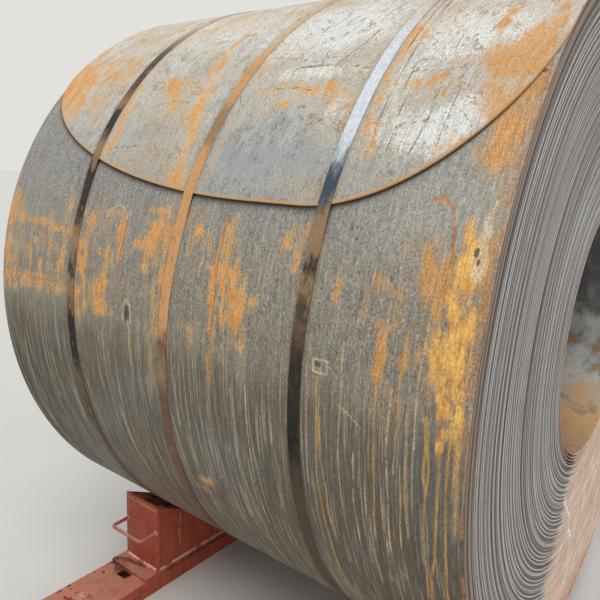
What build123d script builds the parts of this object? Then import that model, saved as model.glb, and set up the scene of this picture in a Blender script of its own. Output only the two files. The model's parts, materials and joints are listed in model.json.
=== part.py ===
"""Hot-rolled steel coil, strapped, lying on two rails with four wedge blocks.

Millimetres, +Z up. The origin is on the floor under the middle of the coil. +X runs along
the coil's axis, and the strip's tail hangs over the top on the -Y side.
Angles in the coil's section are degrees from +Y towards +Z.
"""
import os
from itertools import cycle
from math import acos, asin, atan2, cos, degrees, radians, sin, sqrt, tan

from build123d import *

# Coil
coil_diameter = 1920.0
bore_diameter = 762.0
strip_width = 1545.0
strip_gauge = 5.0
# Laps in each band of the coil's ends from the bore outwards, and how far the band has
# wandered towards +X. The strip is as wide in every lap, so both ends show the same wander.
lap_bands = ((14, 1.5), (22, -1.5), (17, 2.0), (23, -3.0), (14, 1.0), (18, -0.5))
outer_laps = 8
outer_laps_wander = 3.0
lap_gap_width = 2.0
lap_gap_depth = 12.0

# Tail, the rounded end of the outermost lap
tail_tip_angle = 159.0
tail_length = 470.0
tail_flat_start = 200.0
tail_flat_end = 330.0
tail_rise_left = 400.0
tail_rise_right = 440.0

# Straps and their crimped seals. The outer straps are inset from the strip's edges, and the middle
# one is shifted towards +X. Each leans, so that its top lies this far towards +X of its middle.
strap_width = 32.0
strap_gauge = 0.9
strap_seat = 0.3
strap_inset = 373.0
middle_strap_shift = -11.0
strap_leans = {"left": 0.0, "middle": 66.0, "right": 22.0}
seal_length = 50.0
seal_gauge = 1.2
seal_clearance = 0.3
seal_angle = 60.0

# Rails, channels laid flat with the flanges down, inset from the strip's edges
rail_inset = 270.0
rail_length = 2200.0
rail_width = 190.0
rail_height = 60.0
rail_web = 9.0
rail_flange = 11.0
rail_root_radius = 8.0
lock_slot_width = 50.0
lock_slot_length = 35.0
bolt_hole_diameter = 26.0
bolt_hole_inset = 220.0

# Wedge blocks, welded from plates
block_width = 172.0
block_length = 387.0
block_height = 248.0
base_gauge = 10.0
base_toe = 60.0
front_gauge = 12.0
cheek_gauge = 12.0
seat_gauge = 15.0
seat_angle = 25.0
seat_gap = 0.3
plate_edge = 1.5
coil_lift = 46.0

# Lifting handles of the blocks, of bent rod. The rod has flat sides and each bend a few straight
# runs, which keeps the four of them light.
handle_rod = 12.0
handle_sides = 12
handle_bend_runs = 3
handle_width = 155.0
handle_reach = 76.0
handle_height = 144.0
handle_bend = 16.0

coil_radius = coil_diameter / 2
bore_radius = bore_diameter / 2
half_width = strip_width / 2
blank_half_width = half_width + 2 * strip_gauge
base_top = rail_height + base_gauge
axis_height = base_top + coil_lift + coil_radius
tail_span = degrees(tail_length / coil_radius)
tail_middle_angle = tail_tip_angle - tail_span / 2

section_plane = Plane(origin=(0, 0, axis_height), x_dir=(0, 1, 0), z_dir=(1, 0, 0))
turning_plane = Plane(origin=(0, 0, axis_height), x_dir=(1, 0, 0), z_dir=(0, -1, 0))
coil_axis = Axis((0, 0, axis_height), (1, 0, 0))


def polar(angle, radius=1.0):
    """Point of the coil's section at an angle and a radius from the axis."""
    return Vector(cos(radians(angle)) * radius, sin(radians(angle)) * radius)


def radial(angle, radius=1.0):
    """The same as a vector in space."""
    return Vector(0, cos(radians(angle)) * radius, sin(radians(angle)) * radius)


# The outermost lap as four quarter turns that run clockwise from the tail's tip. Each is a quarter
# gauge smaller than the one before, about its own centre, so they join smoothly.
quarter_drop = strip_gauge / 4
first_centre = (polar(tail_tip_angle - 90) + polar(tail_tip_angle - 180)) * (-quarter_drop / 2)
quarter_centres = [first_centre]
for turn in range(1, 4):
    joint = polar(tail_tip_angle - 90 * turn)
    quarter_centres.append(quarter_centres[-1] + joint * quarter_drop)


def quarter_turn(number, clearance=0.0):
    """Centre, radius and first angle of one quarter of the outermost lap."""
    radius = coil_radius - number * quarter_drop + clearance
    return quarter_centres[number], radius, tail_tip_angle - 90 * number


def lap_reach(angle):
    """Distance from the axis to the plane that touches the outermost lap at an angle."""
    number = int(((tail_tip_angle - angle) % 360) // 90)
    centre, radius, _ = quarter_turn(number)
    return centre.dot(polar(angle)) + radius


def tail_rise(x):
    """How far the tail's edge lies back from its tip, at a place along the axis."""
    if x < tail_flat_start:
        share = (tail_flat_start - x) / (half_width + tail_flat_start)
        return tail_rise_left * (1 - sqrt(1 - share ** 2))
    if x < tail_flat_end:
        return 0.0
    share = (x - tail_flat_end) / (half_width - tail_flat_end)
    return tail_rise_right * (1 - sqrt(1 - share ** 2))


def end_waste(side):
    """Outline of what is turned off one end of the blank, which leaves a step for each band of laps."""
    beyond = side * (blank_half_width + strip_gauge)
    outer_start = coil_radius - outer_laps * strip_gauge
    inner = bore_radius - strip_gauge
    outer = bore_radius
    points = [(beyond, inner)]
    for laps, wander in cycle(lap_bands):
        face = side * half_width + wander
        outer = min(outer + laps * strip_gauge, outer_start)
        points += [(face, inner), (face, outer)]
        inner = outer
        if outer == outer_start:
            break
    gap_floor = side * (half_width - lap_gap_depth)
    outer_face = side * half_width + outer_laps_wander
    points += [(gap_floor, outer_start), (gap_floor, outer_start + lap_gap_width)]
    points += [(outer_face, outer_start + lap_gap_width), (outer_face, coil_radius + strip_gauge)]
    points.append((beyond, coil_radius + strip_gauge))
    return points


# Tail: a shell of the outermost lap, cut to its rounded edge
tail_root_angle = tail_tip_angle - tail_span
tail_tip_line = -coil_radius * sin(radians(tail_span / 2))
tail_plane = Plane(
    origin=Vector(0, 0, axis_height) + radial(tail_middle_angle, coil_radius - 50),
    x_dir=(1, 0, 0),
    z_dir=radial(tail_middle_angle),
)
with BuildPart() as tail:
    centre, radius, _ = quarter_turn(0)
    with BuildSketch(section_plane):
        with BuildLine():
            outer = CenterArc(centre, radius, tail_tip_angle, -tail_span)
            inner = CenterArc(centre, radius - strip_gauge, tail_tip_angle, -tail_span)
            Line(outer @ 0, inner @ 0)
            Line(outer @ 1, inner @ 1)
        make_face()
    extrude(amount=blank_half_width, both=True)
    with BuildSketch(tail_plane):
        with BuildLine():
            left_corner = (-half_width, tail_tip_line + tail_rise_left)
            right_corner = (half_width, tail_tip_line + tail_rise_right)
            EllipticalCenterArc((tail_flat_start, left_corner[1]), half_width + tail_flat_start,
                                tail_rise_left, start_angle=180, arc_size=90)
            Line((tail_flat_start, tail_tip_line), (tail_flat_end, tail_tip_line))
            EllipticalCenterArc((tail_flat_end, right_corner[1]), half_width - tail_flat_end,
                                tail_rise_right, start_angle=270, arc_size=90)
            Polyline(left_corner, (-blank_half_width, tail_tip_line + tail_rise_left),
                     (-blank_half_width, tail_length), (blank_half_width, tail_length),
                     (blank_half_width, tail_tip_line + tail_rise_right), right_corner)
        make_face()
    extrude(amount=100, mode=Mode.INTERSECT)

# Coil: the laps below the tail, the bore, the tail, and the turned ends
with BuildPart() as coil:
    with BuildSketch(section_plane):
        with BuildLine():
            centre, radius, _ = quarter_turn(0)
            first = CenterArc(centre, radius, tail_root_angle, tail_span - 90)
            for number in range(1, 4):
                CenterArc(*quarter_turn(number), -90)
            last = CenterArc(centre, radius - strip_gauge, tail_tip_angle, -tail_span)
            Line(last @ 1, first @ 0)
        make_face()
        Circle(bore_radius, mode=Mode.SUBTRACT)
    extrude(amount=blank_half_width, both=True)
    add(tail.part)
    for side in (-1, 1):
        with BuildSketch(turning_plane):
            with BuildLine():
                Polyline(*end_waste(side), close=True)
            make_face()
        revolve(axis=coil_axis, mode=Mode.SUBTRACT)


def strap_loop(edge_angle, clearance):
    """Closed line round the coil: on the laps, then straight from the tail's edge to the lap below."""
    start_centre, start_radius, _ = quarter_turn(0, clearance)
    edge_point = start_centre + polar(edge_angle, start_radius)
    end_centre, end_radius, _ = quarter_turn(3, clearance)
    to_edge = edge_point - end_centre
    touch_angle = degrees(atan2(to_edge.Y, to_edge.X)) + degrees(acos(end_radius / to_edge.length))
    CenterArc(start_centre, start_radius, edge_angle, tail_tip_angle - 90 - edge_angle)
    for number in (1, 2):
        CenterArc(*quarter_turn(number, clearance), -90)
    last_start = tail_tip_angle - 270
    last = CenterArc(end_centre, end_radius, last_start, touch_angle - 360 - last_start)
    Line(last @ 1, edge_point)


def make_strap(x, lean):
    """One strap: a thin band round the coil, cut out by two planes that lean with the strap."""
    lean_slope = lean / coil_radius
    reach = strap_width / 2 + abs(lean) + strap_width
    near_edge = min(tail_rise(x - strap_width), tail_rise(x + strap_width))
    tail_offset = asin((tail_tip_line + near_edge - strip_gauge) / coil_radius)
    edge_angle = tail_middle_angle - degrees(tail_offset)
    with BuildPart() as strap:
        with BuildSketch(section_plane.offset(x)):
            with BuildLine():
                strap_loop(edge_angle, strap_seat + strap_gauge)
            make_face()
            with BuildLine():
                strap_loop(edge_angle, strap_seat)
            make_face(mode=Mode.SUBTRACT)
        extrude(amount=reach, both=True)
        with BuildSketch(Plane(origin=(x, 0, axis_height), x_dir=(0, 1, 0), z_dir=(1, 0, -lean_slope))):
            Rectangle(2.2 * coil_radius, 2.2 * coil_radius)
        extrude(amount=strap_width / 2, both=True, mode=Mode.INTERSECT)
    return strap.part


def make_seal(x, lean):
    """Crimped seal of one strap: a short channel folded over the strap on the hidden side."""
    angle = radians(seal_angle)
    along = Vector(lean * cos(angle), -coil_radius * sin(angle), coil_radius * cos(angle)).normalized()
    across = radial(seal_angle).cross(along).normalized()
    seat = lap_reach(seal_angle) + strap_seat + strap_gauge + seal_clearance
    origin = Vector(x + lean * sin(angle), 0, axis_height) + radial(seal_angle, seat)
    inner_half = strap_width / 2 + seal_clearance
    lip = strap_gauge
    with BuildPart() as seal:
        with BuildSketch(Plane(origin=origin, x_dir=across, z_dir=along)):
            with Locations((0, seal_gauge / 2)):
                Rectangle(2 * (inner_half + seal_gauge), seal_gauge)
            for side in (-1, 1):
                with Locations((side * (inner_half + seal_gauge / 2), -lip / 2)):
                    Rectangle(seal_gauge, lip)
        extrude(amount=seal_length / 2, both=True)
    return seal.part


def make_rail(x):
    """One rail: a channel with its web on top, two lock slots and two bolt holes."""
    inner_width = rail_width - 2 * rail_flange
    with BuildPart() as rail:
        with BuildSketch(Plane(origin=(x, 0, 0), x_dir=(1, 0, 0), z_dir=(0, -1, 0))):
            with Locations((0, rail_height / 2)):
                Rectangle(rail_width, rail_height)
            with Locations((0, (rail_height - rail_web) / 2)):
                Rectangle(inner_width, rail_height - rail_web, mode=Mode.SUBTRACT)
        extrude(amount=rail_length / 2, both=True)
        roots = rail.edges().filter_by(Axis.Y).filter_by_position(
            Axis.Z, rail_height - rail_web - 0.1, rail_height - rail_web + 0.1)
        fillet(roots, rail_root_radius)
        with BuildSketch(Plane(origin=(x, 0, rail_height))):
            for side in (-1, 1):
                with Locations((0, side * (front_face(side) + base_toe + lock_slot_length / 2))):
                    Rectangle(lock_slot_width, lock_slot_length)
                with Locations((0, side * (rail_length / 2 - bolt_hole_inset))):
                    Circle(bolt_hole_diameter / 2)
        extrude(amount=-rail_web, mode=Mode.SUBTRACT)
    return rail.part


# Blocks. Each is slid along its rail until its seat lies against the coil.
slope = tan(radians(seat_angle))
seat_drop = seat_gauge / cos(radians(seat_angle))


def front_face(side):
    """Distance from the coil's middle plane to the outer face of a block's front plate."""
    contact_angle = -90 + side * seat_angle
    reach = lap_reach(contact_angle) + seat_gap
    front_top = base_top + block_height - axis_height
    return (reach + front_top * cos(radians(seat_angle))) / sin(radians(seat_angle))


def block_plane(side, x):
    """Plane of a block's side view, with x outwards along the rail from the front plate's face."""
    return Plane(origin=(x, side * front_face(side), base_top), x_dir=(0, side, 0), z_dir=(side, 0, 0))


def extrude_plate(side, x, width, outline):
    """One plate of a block, from its side view and its width along the coil's axis."""
    with BuildPart() as plate:
        with BuildSketch(block_plane(side, x)):
            with BuildLine():
                Polyline(*outline, close=True)
            make_face()
        extrude(amount=width / 2, both=True)
        long_edges = plate.edges().filter_by(Axis.X)
        if width > cheek_gauge:
            chamfer(long_edges, plate_edge)
    return plate.part


def seat_top(back):
    """Height of a block's seat above its base, at a distance back from the front face."""
    return block_height - back * slope


def make_base(side, x):
    outline = ((base_toe, -base_gauge), (base_toe, 0), (-block_length, 0), (-block_length, -base_gauge))
    return extrude_plate(side, x, rail_width, outline)


def make_front(side, x):
    outline = ((0, 0), (0, seat_top(0) - seat_drop),
               (-front_gauge, seat_top(front_gauge) - seat_drop), (-front_gauge, 0))
    return extrude_plate(side, x, block_width, outline)


def make_cheek(side, x, hand):
    outline = ((-front_gauge, 0), (-front_gauge, seat_top(front_gauge) - seat_drop),
               (-block_length, seat_top(block_length) - seat_drop), (-block_length, 0))
    offset_x = hand * (block_width - cheek_gauge) / 2
    return extrude_plate(side, x + offset_x, cheek_gauge, outline)


def make_seat(side, x):
    outline = ((0, seat_top(0)), (-block_length, seat_top(block_length)),
               (-block_length, seat_top(block_length) - seat_drop), (0, seat_top(0) - seat_drop))
    return extrude_plate(side, x, block_width, outline)


def make_handle(side, x):
    """U-shaped rod whose two ends are welded to the front plate."""
    half = handle_width / 2
    bend_centre = Vector(handle_bend - half, handle_reach - handle_rod / 2 - handle_bend)
    leg = [(-half, 0)]
    for run in range(handle_bend_runs + 1):
        point = bend_centre + polar(180 - 90 * run / handle_bend_runs, handle_bend)
        leg.append((point.X, point.Y))
    other_leg = [(-across, along) for across, along in reversed(leg)]
    level = Plane(origin=(x, side * front_face(side), base_top + handle_height), x_dir=(side, 0, 0))
    with BuildPart() as handle:
        with BuildLine(level) as path:
            Polyline(*leg, *other_leg)
        with BuildSketch(Plane(origin=path.line @ 0, x_dir=(1, 0, 0), z_dir=path.line % 0)):
            RegularPolygon(handle_rod / 2, handle_sides, rotation=180 / handle_sides)
        sweep(transition=Transition.RIGHT)
    return handle.part


def save(part, name):
    part.label = name
    export_step(part, f"parts/{name}.step")


os.makedirs("parts", exist_ok=True)
save(coil.part, "coil")
outer_strap_x = half_width - strap_inset
strap_places = {"left": -outer_strap_x, "middle": middle_strap_shift, "right": outer_strap_x}
for place, strap_x in strap_places.items():
    save(make_strap(strap_x, strap_leans[place]), f"strap_{place}")
    save(make_seal(strap_x, strap_leans[place]), f"strap_seal_{place}")
for hand, rail_side in (("left", -1), ("right", 1)):
    rail_x = rail_side * (half_width - rail_inset)
    save(make_rail(rail_x), f"rail_{hand}")
    for place, block_side in (("front", -1), ("rear", 1)):
        block = f"{hand}_{place}"
        save(make_base(block_side, rail_x), f"base_plate_{block}")
        save(make_front(block_side, rail_x), f"front_plate_{block}")
        save(make_cheek(block_side, rail_x, rail_side), f"cheek_plate_{block}_outer")
        save(make_cheek(block_side, rail_x, -rail_side), f"cheek_plate_{block}_inner")
        save(make_seat(block_side, rail_x), f"seat_plate_{block}")
        save(make_handle(block_side, rail_x), f"handle_{block}")
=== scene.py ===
"""Looks of a strapped coil of hot-rolled steel on its cradle.

Metres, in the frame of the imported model: +X along the coil's axis, +Z up, and the strip's tail
hangs over the top on the -Y side. Angles round the coil are degrees from its bottom, 0, over the
tail's side, 90, to its top, 180. Along the strip they run on, so each further lap adds 360.
"""
import json
from math import acos, ceil, cos, degrees, pi, radians, sin

import bmesh
import bpy
import numpy as np
from mathutils import Matrix, Vector


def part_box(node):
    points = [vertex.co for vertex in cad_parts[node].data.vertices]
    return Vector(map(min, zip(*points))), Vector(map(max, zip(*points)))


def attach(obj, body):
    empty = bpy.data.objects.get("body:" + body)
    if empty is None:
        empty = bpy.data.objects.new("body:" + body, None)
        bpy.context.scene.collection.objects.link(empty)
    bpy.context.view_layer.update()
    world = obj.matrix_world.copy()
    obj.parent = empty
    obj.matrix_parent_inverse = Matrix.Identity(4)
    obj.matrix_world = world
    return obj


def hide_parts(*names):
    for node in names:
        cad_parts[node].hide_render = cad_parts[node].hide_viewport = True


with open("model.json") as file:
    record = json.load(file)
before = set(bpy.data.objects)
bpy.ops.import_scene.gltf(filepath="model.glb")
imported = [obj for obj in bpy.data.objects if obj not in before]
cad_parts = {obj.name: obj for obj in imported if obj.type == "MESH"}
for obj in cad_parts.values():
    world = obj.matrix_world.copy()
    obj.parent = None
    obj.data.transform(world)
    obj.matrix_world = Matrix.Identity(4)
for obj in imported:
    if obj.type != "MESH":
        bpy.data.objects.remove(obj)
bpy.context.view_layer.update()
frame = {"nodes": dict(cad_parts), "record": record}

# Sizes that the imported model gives
mounts = {mount["name"]: mount for mount in frame["record"]["mounts"]}
coil_eye = mounts["coil_eye"]
axis_height = coil_eye["pos_m"][2]
bore_radius = coil_eye["dims"]["r_mm"] / 1000
half_width = coil_eye["dims"]["length_mm"] / 2000
bolt_spacing = [mounts["rail_bolts"]["dims"][f"spacing_{axis}_mm"] / 1000 for axis in "xy"]

# The strip
coil_radius = 0.960
gauge = 0.005
tail_tip = 111.0
tail_length = 0.470
flat_start = 0.200
flat_end = 0.330
rise_left = 0.400
rise_right = 0.440
strip_end = tail_tip + 360 * ((coil_radius - bore_radius) / gauge - 1)

# The tail's skin: lift of its free edge, where its top meets the back, point spacing and rows
tail_lift = 0.0016
tail_top = 172.0
tail_spacing = 0.0062
tail_rows = 118

# Degrees past the tip over which the tail's rounded corners leave the ends of the lap below bare
bare_near = 26.0
bare_far = 18.0

# The outermost lap in stretches: name, first and last angle, step in degrees, spacing across it
lap_stretches = (
    ("coil_lap_upper", 447, 504, 0.27, 0.0036),
    ("coil_lap_lower", 395, 447, 0.30, 0.0042),
    ("coil_lap_under", 360, 395, 0.75, 0.0120),
    ("coil_lap_back", 170, 360, 0.90, 0.0120),
)

# How far the laps of the coil's ends have wandered towards +X, in bands from the bore outwards
lap_bands = ((14, 0.0015), (22, -0.0015), (17, 0.0020), (23, -0.0030), (14, 0.0010), (18, -0.0005))
outer_laps = 8
outer_wander = 0.0030
outer_gap_depth = 0.012
closed_gap_depth = 0.0006
lap_scatter = 0.0006
step_spread = 1.5
edge_points_per_turn = 210
edge_rounding = 0.0007

# Loose laps at the bottom of the bore
loose_turns = 7
loose_drop = 0.020
loose_middle = 20.0
loose_spread = 75.0

# Straps and their seals
strap_width = 0.032
strap_gauge = 0.0009
strap_clearance = 0.0003
strap_lean = {"left": 0.0, "middle": 0.066, "right": 0.022}
strap_twist = 0.0004
strap_step = 0.5
bridge_reach = 6.0
seal_half_width = 0.0175
seal_wall = 0.0012
seal_length = 0.050
seal_sink = 0.0006
notch_place = 0.24
notch_reach = 0.045
notch_squeeze = 0.10
notch_depth = 0.0007

# Cradle
eased_width = 0.0014
rod_radius = 0.006
rod_bend = 0.016
rod_sides = 20
weld_size = 0.006
top_seam_size = 0.0055
corner_seam_size = 0.0050
ring_weld_size = 0.0042
weld_spacing = 0.0016
weld_ripple = 0.0052
seam_lift = 0.35
fillet_crown = (1.0, 0.82, 0.76, 0.76, 0.82, 1.0)
seam_crown = (1.0, 1.12, 1.20, 1.20, 1.12, 1.0)
ring_crown = (1.0, 0.80, 0.74, 0.74, 0.80, 1.0)

# The photograph's view, taken from standing height with the camera tipped a little
camera_place = (1.1213, -1.9026, 1.4947)
camera_heading = 37.145
camera_pitch = -12.088
camera_roll = 2.602
camera_lens = 36.90
floor_reach = 60.0


# Round the coil

def direction(angle):
    """Unit vector in the coil's section, as y and z."""
    turned = np.radians(angle)
    return np.stack([-np.sin(turned), -np.cos(turned)], -1)


def quarter_centres():
    """Centres of the four quarter turns that the outermost lap is made of, each smaller than the last."""
    drop = gauge / 4
    found = [-(direction(tail_tip + 90) + direction(tail_tip + 180)) * drop / 2]
    for quarter in (1, 2, 3):
        found.append(found[-1] + direction(tail_tip + 90 * quarter) * drop)
    return np.array(found)


centres = quarter_centres()


def lap_radius(angle):
    """Distance from the axis to the strip's outer face, at an angle along the strip."""
    turned = np.asarray(angle, float) - tail_tip
    laps = np.floor(turned / 360)
    quarter = np.floor(turned % 360 / 90).astype(int)
    shift = (centres[quarter] * direction(angle)).sum(-1)
    return coil_radius - quarter * gauge / 4 - laps * gauge + shift


def on_coil(x, angle, radius):
    """Points in space, at places along the axis, angles and distances from the axis."""
    x, angle, radius = np.broadcast_arrays(x, angle, radius)
    section = direction(angle) * radius[..., None]
    return np.stack([x, section[..., 0], axis_height + section[..., 1]], -1)


def tail_edge(x):
    """Angle of the tail's edge at places along the axis."""
    x = np.asarray(x, float)
    left = np.clip((flat_start - x) / (half_width + flat_start), 0, 1)
    right = np.clip((x - flat_end) / (half_width - flat_end), 0, 1)
    rise = rise_left * (1 - np.sqrt(1 - left ** 2)) + rise_right * (1 - np.sqrt(1 - right ** 2))
    half_span = tail_length / coil_radius / 2
    return tail_tip + np.degrees(half_span + np.arcsin(rise / coil_radius - sin(half_span)))


def strap_middle(place):
    """Place along the axis where a strap's middle line crosses the coil's side."""
    low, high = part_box(f"strap_{place}")
    return (low.x + high.x) / 2


def strap_line(place, angle):
    """Place along the axis of a strap's middle line, at an angle round the coil."""
    return strap_middle(place) - strap_lean[place] * np.cos(np.radians(angle))


def smooth(value):
    """A soft step from 0 to 1."""
    value = np.clip(value, 0, 1)
    return value * value * (3 - 2 * value)


def wavering(places, pace, seed):
    """A smooth random line from -1 to 1."""
    knots = np.random.default_rng(seed).uniform(-1, 1, 4096)
    run = np.asarray(places, float) * pace
    low = np.floor(run).astype(int)
    share = smooth(run - low)
    return knots[low % 4096] * (1 - share) + knots[(low + 1) % 4096] * share


# Meshes

def grid_faces(rows, columns, close_rows=False, close_columns=False, flip=False):
    """Quads of a grid whose points are counted along each row."""
    row = np.arange(rows if close_rows else rows - 1)[:, None]
    column = np.arange(columns if close_columns else columns - 1)[None, :]
    next_row, next_column = (row + 1) % rows, (column + 1) % columns
    corners = (row * columns + column, row * columns + next_column,
               next_row * columns + next_column, next_row * columns + column)
    faces = np.stack(np.broadcast_arrays(*corners), -1).reshape(-1, 4)
    return faces[:, ::-1] if flip else faces


def show(name, data):
    """Links a mesh, lamp or camera into the scene."""
    thing = bpy.data.objects.new(name, data)
    bpy.context.scene.collection.objects.link(thing)
    return thing


def dress(name, mesh, material, slot, sharp, *nodes):
    """A smooth-shaded piece that rides on the one body and may stand for CAD nodes."""
    mesh.shade_smooth()
    mesh.set_sharp_from_angle(angle=radians(sharp))
    mesh.materials.append(material)
    piece = show(name, mesh)
    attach(piece, "root")
    for node in nodes:
        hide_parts(node)
    return piece


def make_piece(name, points, faces, material, slot, *nodes, sharp=35, **attributes):
    """A piece from an array of points and its faces. Attributes give one number at each point."""
    mesh = bpy.data.meshes.new(name)
    faces = faces if isinstance(faces, list) else faces.tolist()
    mesh.from_pydata(points.reshape(-1, 3).tolist(), [], faces)
    for key, values in attributes.items():
        spread = np.broadcast_to(values, points.shape[:-1]).astype(np.float32)
        mesh.attributes.new(key, "FLOAT", "POINT").data.foreach_set("value", spread.ravel())
    return dress(name, mesh, material, slot, sharp, *nodes)


def add_bake_map(piece, across, along):
    """A map for the bake that lays the piece out flat: each vertex gets its own place."""
    def unit(values):
        return 0.01 + 0.98 * (values - values.min()) / (values.max() - values.min())
    corners = np.empty(len(piece.data.loops), int)
    piece.data.loops.foreach_get("vertex_index", corners)
    across, along = np.broadcast_arrays(across, along)
    places = np.stack([unit(across).ravel(), unit(along).ravel()], -1)[corners]
    piece.data.uv_layers.new(name="OFBake").uv.foreach_set("vector", places.astype(np.float32).ravel())


# Materials. Colours are written as they look, red, green and blue from 0 to 255.

def srgb(red, green, blue):
    """A colour as the shader takes it."""
    def decoded(value):
        value /= 255
        return value / 12.92 if value <= 0.04045 else ((value + 0.055) / 1.055) ** 2.4
    return decoded(red), decoded(green), decoded(blue), 1.0


class Finish:
    """A material's nodes, with a short method for each kind, and its colour as built up so far."""

    def __init__(self, name):
        self.material = bpy.data.materials.new(name)
        self.material.use_nodes = True
        self.tree = self.material.node_tree
        self.shader = self.tree.nodes["Principled BSDF"]
        self.place = self.add("ShaderNodeTexCoord").outputs["Object"]
        self.colour = None

    def feed(self, socket, value):
        if isinstance(value, bpy.types.NodeSocket):
            self.tree.links.new(value, socket)
        elif value is not None:
            socket.default_value = value

    def add(self, kind, *values, named=None, **settings):
        """A node: its settings, and what goes into its sockets in order or by name."""
        node = self.tree.nodes.new(kind)
        for key, value in settings.items():
            setattr(node, key, value)
        for socket, value in zip(node.inputs, values):
            self.feed(socket, value)
        for key, value in (named or {}).items():
            self.feed(node.inputs[key], value)
        return node

    def math(self, operation, first, second=None, third=None, clamp=False):
        node = self.add("ShaderNodeMath", first, second, third, operation=operation, use_clamp=clamp)
        return node.outputs[0]

    def times(self, first, *others):
        """The product of several values."""
        for other in others:
            first = self.math("MULTIPLY", first, other)
        return first

    def line(self, value, slope, base, clamp=False):
        """A value times a slope, plus a base."""
        return self.math("MULTIPLY_ADD", value, slope, base, clamp)

    def vector(self, operation, first, second=None, output="Vector"):
        return self.add("ShaderNodeVectorMath", first, second, operation=operation).outputs[output]

    def axes(self, vector):
        """The three numbers of a vector."""
        return self.add("ShaderNodeSeparateXYZ", vector).outputs[:3]

    def attribute(self, name):
        return self.add("ShaderNodeAttribute", attribute_name=name).outputs["Fac"]

    def noise(self, stretch, detail=2.0, roughness=0.5, distortion=0.0):
        """Noise spread so that it fills 0 to 1, with so many features a metre along each axis."""
        where = self.vector("MULTIPLY", self.place, stretch)
        node = self.add("ShaderNodeTexNoise", named={"Vector": where, "Scale": 1.0, "Detail": detail,
                                                     "Roughness": roughness, "Distortion": distortion})
        return self.line(node.outputs["Fac"], 2.2, -0.6, clamp=True)

    def line_noise(self, along, pace, detail=1.0):
        """Noise along one number."""
        node = self.add("ShaderNodeTexNoise", noise_dimensions="1D",
                        named={"W": self.times(along, pace), "Scale": 1.0, "Detail": detail})
        return self.line(node.outputs["Fac"], 2.2, -0.6, clamp=True)

    def veins(self, noise, wide, narrow):
        """Thin lines where a noise crosses its middle."""
        return self.step(self.math("ABSOLUTE", self.math("SUBTRACT", noise, 0.5)), wide, narrow)

    def step(self, value, low, high):
        """A soft step from 0 at low to 1 at high."""
        named = {"Value": value, "From Min": low, "From Max": high}
        return self.add("ShaderNodeMapRange", interpolation_type="SMOOTHSTEP", named=named).outputs["Result"]

    def mix(self, share, *colours):
        """Two colours mixed. A share of 0 gives the first."""
        node = self.add("ShaderNodeMix", data_type="RGBA")
        self.feed(node.inputs[0], share)
        for socket, colour in zip(node.inputs[6:8], colours):
            self.feed(socket, srgb(*colour) if isinstance(colour, tuple) else colour)
        return node.outputs[2]

    def coat(self, share, colour, *shares):
        """Lays a colour over what is there, as thick as the product of its shares."""
        self.colour = self.mix(self.times(share, *shares), self.colour, colour)

    def shade(self, colour, factor):
        """A colour made lighter or darker by a factor."""
        start = srgb(*colour)[:3] if isinstance(colour, tuple) else colour
        return self.add("ShaderNodeVectorMath", start, operation="SCALE", named={"Scale": factor}).outputs[0]

    def vary(self, value, slope, base):
        """Makes what is there lighter or darker by a value times a slope, plus a base."""
        self.colour = self.shade(self.colour, self.line(value, slope, base))

    def stroke(self, place, start, end, width):
        """1 on a straight stroke between two points, 0 off it."""
        run = Vector(end) - Vector(start)
        away = self.vector("SUBTRACT", place, start)
        along = self.vector("DOT_PRODUCT", away, tuple(run), "Value")
        share = self.math("DIVIDE", along, run.length_squared, clamp=True)
        across = self.add("ShaderNodeVectorMath", tuple(run), operation="SCALE", named={"Scale": share})
        off = self.vector("LENGTH", self.vector("SUBTRACT", away, across.outputs[0]), output="Value")
        return self.step(off, width, width * 0.4)

    def ramp(self, value, *stops):
        """A colour that changes with a value, through places and their colours."""
        node = self.add("ShaderNodeValToRGB", value)
        marks = node.color_ramp.elements
        while len(marks) < len(stops):
            marks.new(0.5)
        for mark, (position, colour) in zip(marks, stops):
            mark.position = position
            mark.color = srgb(*colour)
        return node.outputs["Color"]

    def finish(self, roughness, height=None, depth=0.0005, specular=0.5):
        """Ends the material with its roughness, relief and gloss."""
        given = {"Base Color": self.colour, "Roughness": roughness, "Specular IOR Level": specular}
        for key, value in given.items():
            self.feed(self.shader.inputs[key], value)
        if height is not None:
            bump = self.add("ShaderNodeBump", named={"Strength": 1.0, "Distance": depth, "Height": height})
            self.feed(self.shader.inputs["Normal"], bump.outputs["Normal"])
        return self.material


# Marks on the coil's skin. Places are millimetres along the axis and degrees round the coil.

def skin_place(x, angle):
    """Flat place of a mark on the coil's skin, in metres."""
    return x / 1000, radians(angle) * coil_radius


def trails(*lines):
    """Segments of painted lines, each line given by its half width in millimetres and its places."""
    segments = []
    for half, *places in lines:
        ends = [skin_place(x, angle) for x, angle in places]
        segments += [(start, end, half / 1000) for start, end in zip(ends, ends[1:])]
    return segments


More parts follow.
